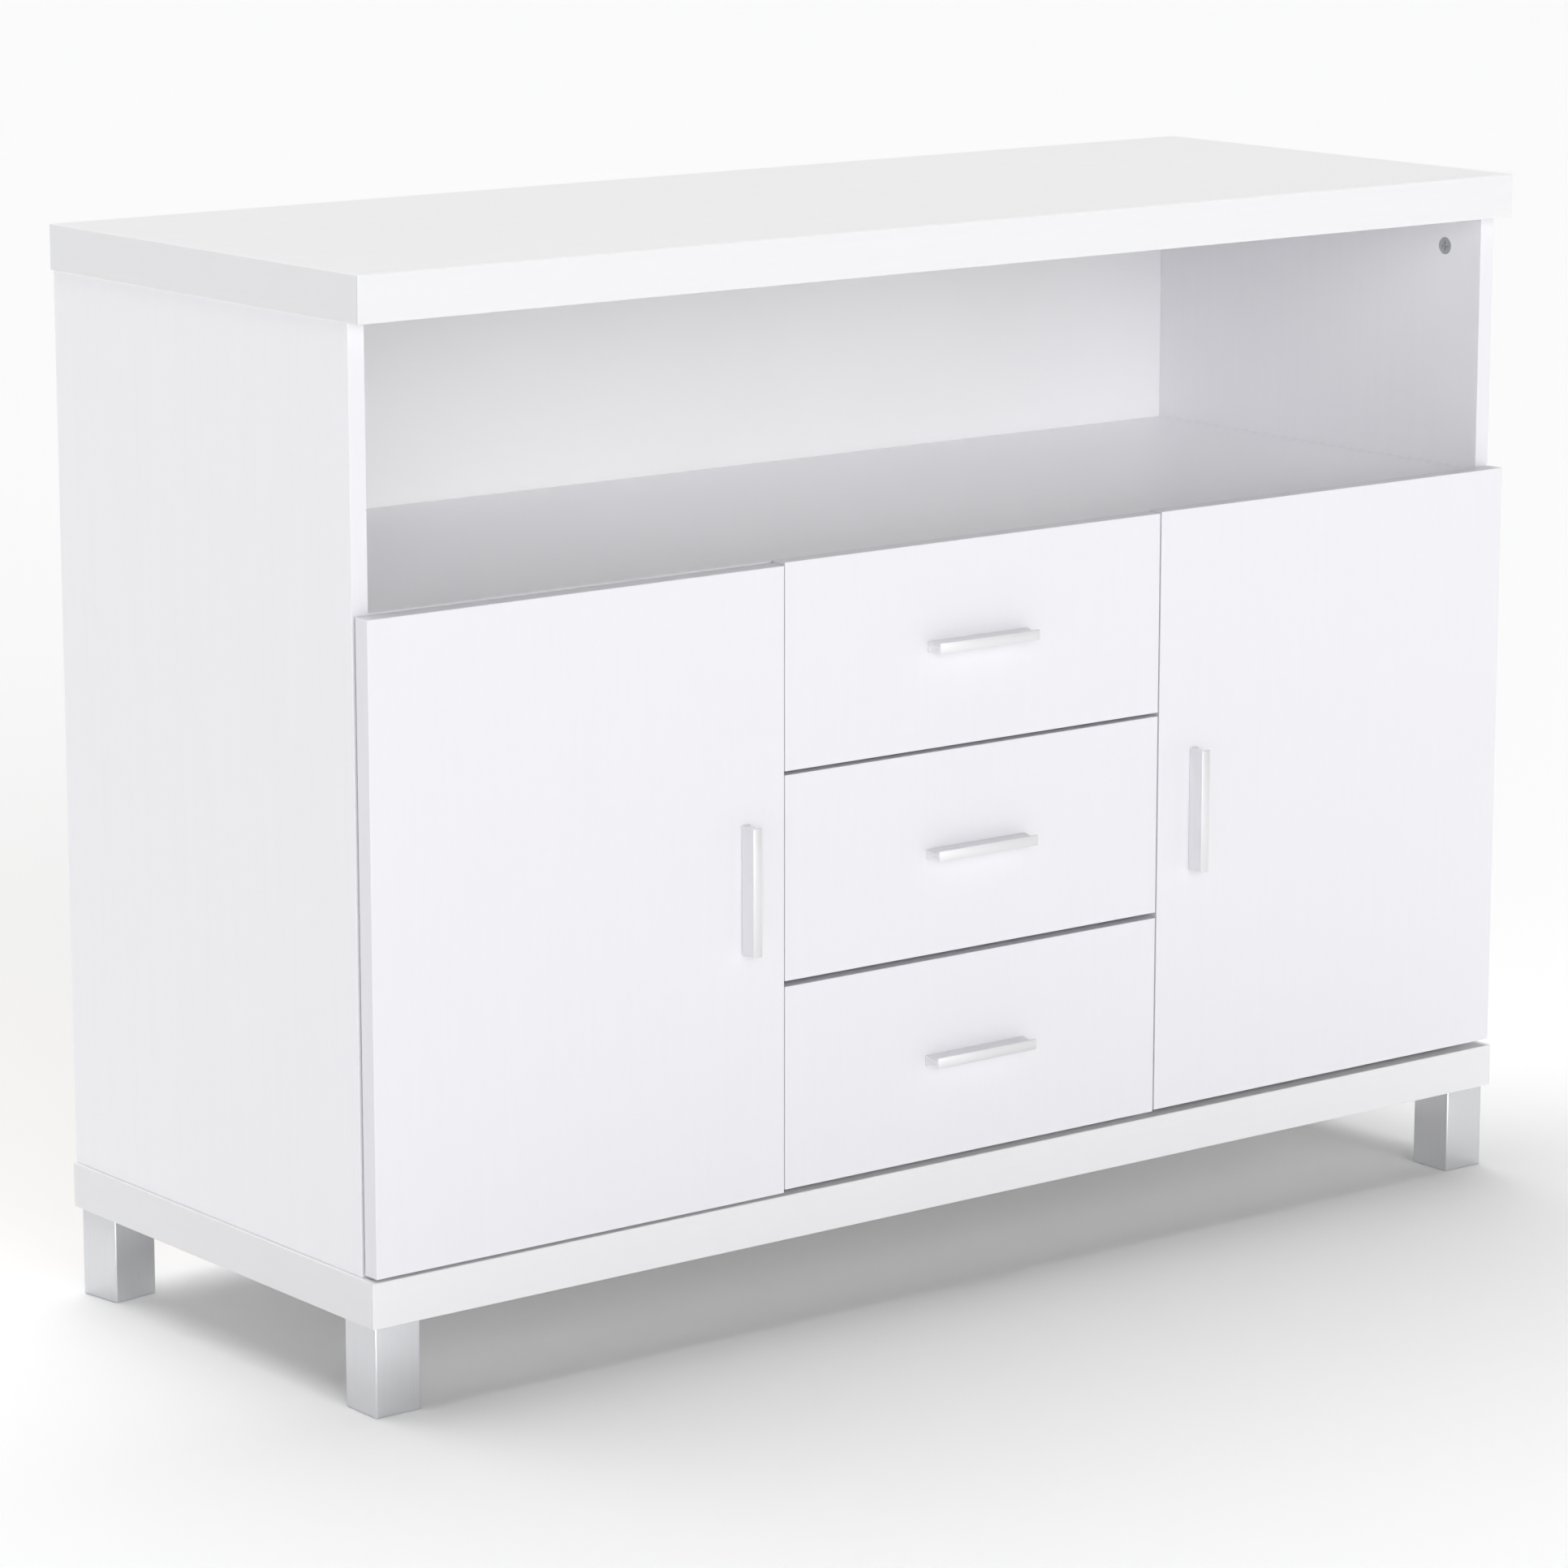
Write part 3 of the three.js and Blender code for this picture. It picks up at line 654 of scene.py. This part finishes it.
def makeDrawerScrews():
    small = screwMesh(runnerScrews["radius"], runnerScrews["height"], "runnerScrew")
    sunk = screwMesh(boxScrews["radius"], boxScrews["height"], "boxScrew")
    for level in drawerLevels:
        onCabinet, onFoot, onSide = [], [], []
        for side, outward in (("left", -1), ("right", 1)):
            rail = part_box(f"{level}_drawer_{side}_cabinet_rail")
            wall = (rail[0].x + roller["railSteel"]) if outward < 0 else (rail[1].x - roller["railSteel"])
            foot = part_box(f"{level}_drawer_{side}_drawer_rail")[0].z
            boxLow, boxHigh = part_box(f"{level}_drawer_{side}_side")
            for back in runnerScrews["ends"]:
                at = (wall, rail[0].y + back, boxLow.z + runnerScrews["lift"])
                onCabinet.append((at, (-outward, 0, 0)))
                onFoot.append((((boxLow.x + boxHigh.x) / 2, boxLow.y + back, foot), (0, 0, -1)))
            for up in boxScrews["heights"]:
                face = boxLow.x if outward < 0 else boxHigh.x
                onSide.append(((face, boxHigh.y - boxScrews["fromRear"], boxLow.z + up), (outward, 0, 0)))
        scatter(f"{level}_cabinet_rail_screws", small, onCabinet, "platedSteel", "cabinet")
        scatter(f"{level}_drawer_rail_screws", small, onFoot, "platedSteel", f"{level}_drawer")
        scatter(f"{level}_drawer_side_screws", sunk, onSide, "platedSteel", f"{level}_drawer")


drawerCam = {"radius": 0.0060, "height": 0.0006, "fromFront": 0.024}


def makeDrawerCams():
    cam = screwMesh(drawerCam["radius"], drawerCam["height"], "drawerCam")
    for level in drawerLevels:
        places = []
        for side, inward in (("left", 1), ("right", -1)):
            low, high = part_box(f"{level}_drawer_{side}_side")
            face = high.x if inward > 0 else low.x
            places.append(((face, low.y + drawerCam["fromFront"], (low.z + high.z) / 2), (inward, 0, 0)))
        scatter(f"{level}_drawer_cams", cam, places, "castZinc", f"{level}_drawer")


def makeShelfPins():
    r, f, wall, length = shelfPin["radius"], shelfPin["flange"], shelfPin["flangeWall"], shelfPin["length"]
    outline = [(r, -shelfPin["inBoard"]), (r, 0), (f, 0), (f, wall), (r, wall), (r, length - shelfPin["tip"]),
               (r * 0.7, length)]
    pin = meshOf(turnedShape(outline, 24), "shelfPin")
    places = []
    for side, outward in (("left", -1), ("right", 1)):
        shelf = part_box(f"{side}_shelf")
        panel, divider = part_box(f"{side}_side_panel"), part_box(f"{side}_divider")
        faces = ((panel[1].x, 1), (divider[0].x, -1)) if outward < 0 else ((divider[1].x, 1), (panel[0].x, -1))
        for face, way in faces:
            for y in (panel[0].y + pinHoles["fromFront"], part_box("back_panel")[0].y - pinHoles["fromBack"]):
                places.append(((face, y, shelf[0].z - r), (way, 0, 0)))
    scatter("shelf_pins", pin, places, "platedSteel", "cabinet")


legBolt = {"washer": 0.0072, "washerWall": 0.0012, "head": 0.0060, "headHeight": 0.0050}


def makeLegBolts():
    w, t, h, a = legBolt["washer"], legBolt["washerWall"], legBolt["headHeight"], legBolt["head"]
    washer = meshOf(turnedShape([(w, 0), (w, t * 0.8), (w * 0.96, t)], 32), "washer")
    hexHead = turnedShape([(a, t * 0.9), (a, t + h * 0.88), (a * 0.86, t + h)], 6)
    places = []
    for node in sorted(frame["nodes"]):
        if node.endswith("_leg"):
            at = middleOf(node)
            places.append(((at.x, at.y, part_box("base_panel")[1].z), (0, 0, 1)))
    scatter("leg_bolt_washers", washer, places, "platedSteel", "cabinet")
    scatter("leg_bolt_heads", meshOf(hexHead, "hexHead"), places, "platedSteel", "cabinet")


nailLook = {"radius": 0.0016, "height": 0.0004, "sunk": 0.0002, "fromEdge": 0.004, "clear": 0.02,
            "upright": (0.15, 0.26, 0.37, 0.48, 0.59, 0.70, 0.81),
            "level": (-0.50, -0.39, -0.28, -0.10, 0.10, 0.28, 0.39, 0.50)}


def makeNails():
    r, h = nailLook["radius"], nailLook["height"]
    nail = meshOf(turnedShape([(r, -nailLook["sunk"]), (r, h * 0.5), (r * 0.6, h)], 12), "nail")
    low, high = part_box("back_panel")
    dividers = [middleOf("left_divider").x, middleOf("right_divider").x]
    floorMiddle = middleOf("compartment_floor").z
    sides = (low.x + nailLook["fromEdge"], high.x - nailLook["fromEdge"])
    underFloor = [z for z in nailLook["upright"] if z < floorMiddle - nailLook["clear"]]
    places = [((x, high.y, z), (0, 1, 0)) for x in sides for z in nailLook["upright"]]
    places += [((x, high.y, z), (0, 1, 0)) for x in dividers for z in underFloor]
    places += [((x, high.y, floorMiddle), (0, 1, 0)) for x in nailLook["level"]]
    scatter("back_panel_nails", nail, places, "platedSteel", "cabinet")


baseScrews = {"radius": 0.0038, "height": 0.0005, "fromFront": 0.08, "fromRear": 0.08}


def makeBaseScrews():
    sunk = screwMesh(baseScrews["radius"], baseScrews["height"], "baseScrew")
    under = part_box("base_panel")[0].z
    places = []
    for node in ("left_side_panel", "right_side_panel", "left_divider", "right_divider"):
        low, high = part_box(node)
        for y in (low.y + baseScrews["fromFront"], high.y - baseScrews["fromRear"]):
            places.append((((low.x + high.x) / 2, y, under), (0, 0, -1)))
    scatter("base_panel_screws", sunk, places, "platedSteel", "cabinet")


makeHingeScrews()
makeHandleScrews()
makeBumpers()
makeRollers()
makeDrawerScrews()
makeDrawerCams()
makeShelfPins()
makeLegBolts()
makeNails()
makeBaseScrews()
print("small hardware made")


studio = {
    "floorTint": (0.885, 0.885, 0.885), "floorGlow": 0.03, "floorSize": 60.0,
    "cameraAim": (-0.0279, 0.0083, 0.3920), "cameraDistance": 4.884, "cameraAzimuth": -38.01,
    "cameraElevation": 11.82, "lens": 132.6,
    # degrees; the room is bright at the horizon and dimmer overhead, with a soft light in front
    "horizon": {"low": 4, "high": 22, "level": 0.86, "overhead": 0.11},
    "frontGlow": {"azimuth": -18, "elevation": 9, "spread": 34, "level": 4.15},
    "topLight": {"azimuth": 180, "elevation": 70, "angle": 60, "brightness": 0.83},
}


def towards(azimuth, elevation):
    turn, lift = math.radians(azimuth), math.radians(elevation)
    return Vector((math.sin(turn) * math.cos(lift), -math.cos(turn) * math.cos(lift), math.sin(lift)))


def makeWorld():
    world = bpy.data.worlds.new("studio")
    world.use_nodes = True
    tree = world.node_tree
    direction = tree.nodes.new("ShaderNodeTexCoord").outputs["Generated"]
    height = tree.nodes.new("ShaderNodeSeparateXYZ")
    tree.links.new(direction, height.inputs["Vector"])
    band, glow = studio["horizon"], studio["frontGlow"]
    room = rangeOf(tree, height.outputs["Z"], band["level"] + band["overhead"], band["overhead"],
                   math.sin(math.radians(band["low"])), math.sin(math.radians(band["high"])))
    facingGlow = tree.nodes.new("ShaderNodeVectorMath")
    facingGlow.operation = "DOT_PRODUCT"
    facingGlow.inputs[1].default_value = towards(glow["azimuth"], glow["elevation"])
    tree.links.new(direction, facingGlow.inputs[0])
    front = rangeOf(tree, facingGlow.outputs["Value"], 0, glow["level"],
                    math.cos(math.radians(glow["spread"])), 1)
    total = tree.nodes.new("ShaderNodeMath")
    for value, socket in ((room, 0), (front, 1)):
        value.node.interpolation_type = "SMOOTHSTEP"
        tree.links.new(value, total.inputs[socket])
    tree.links.new(total.outputs["Value"], tree.nodes["Background"].inputs["Strength"])
    tree.nodes["Background"].inputs["Color"].default_value = (1, 1, 1, 1)
    return world


def makeStudio():
    shape = bmesh.new()
    bmesh.ops.create_grid(shape, x_segments=1, y_segments=1, size=studio["floorSize"] / 2)
    mesh = meshOf(shape, "studioFloor")
    finish, tree, shader = newFinish("studioFloor")
    shader.inputs["Base Color"].default_value = (*studio["floorTint"], 1)
    shader.inputs["Roughness"].default_value = 0.9
    shader.inputs["Specular IOR Level"].default_value = 0.1
    shader.inputs["Emission Color"].default_value = (1, 1, 1, 1)
    shader.inputs["Emission Strength"].default_value = studio["floorGlow"]
    mesh.materials.append(finish)
    floor = bpy.data.objects.new("studioFloor", mesh)
    floor.location.z = cadBox[0][2] - 0.0005
    bpy.context.scene.collection.objects.link(floor)
    bpy.context.scene.world = makeWorld()
    look = studio["topLight"]
    light = bpy.data.lights.new("topLight", "SUN")
    light.energy = look["brightness"] * math.pi
    light.angle = math.radians(look["angle"])
    lamp = bpy.data.objects.new("topLight", light)
    lamp.rotation_euler = towards(look["azimuth"], look["elevation"]).to_track_quat("Z", "Y").to_euler()
    bpy.context.scene.collection.objects.link(lamp)


def makeCamera():
    back = towards(studio["cameraAzimuth"], studio["cameraElevation"])
    camera = bpy.data.objects.new("camera", bpy.data.cameras.new("camera"))
    camera.data.lens = studio["lens"]
    camera.data.sensor_width = 36
    camera.location = Vector(studio["cameraAim"]) + back * studio["cameraDistance"]
    camera.rotation_euler = (-back).to_track_quat("-Z", "Y").to_euler()
    camera.data.clip_end = 100
    bpy.context.scene.collection.objects.link(camera)
    bpy.context.scene.camera = camera


makeStudio()
makeCamera()
bpy.context.scene.view_settings.view_transform = "Standard"
print("studio made")
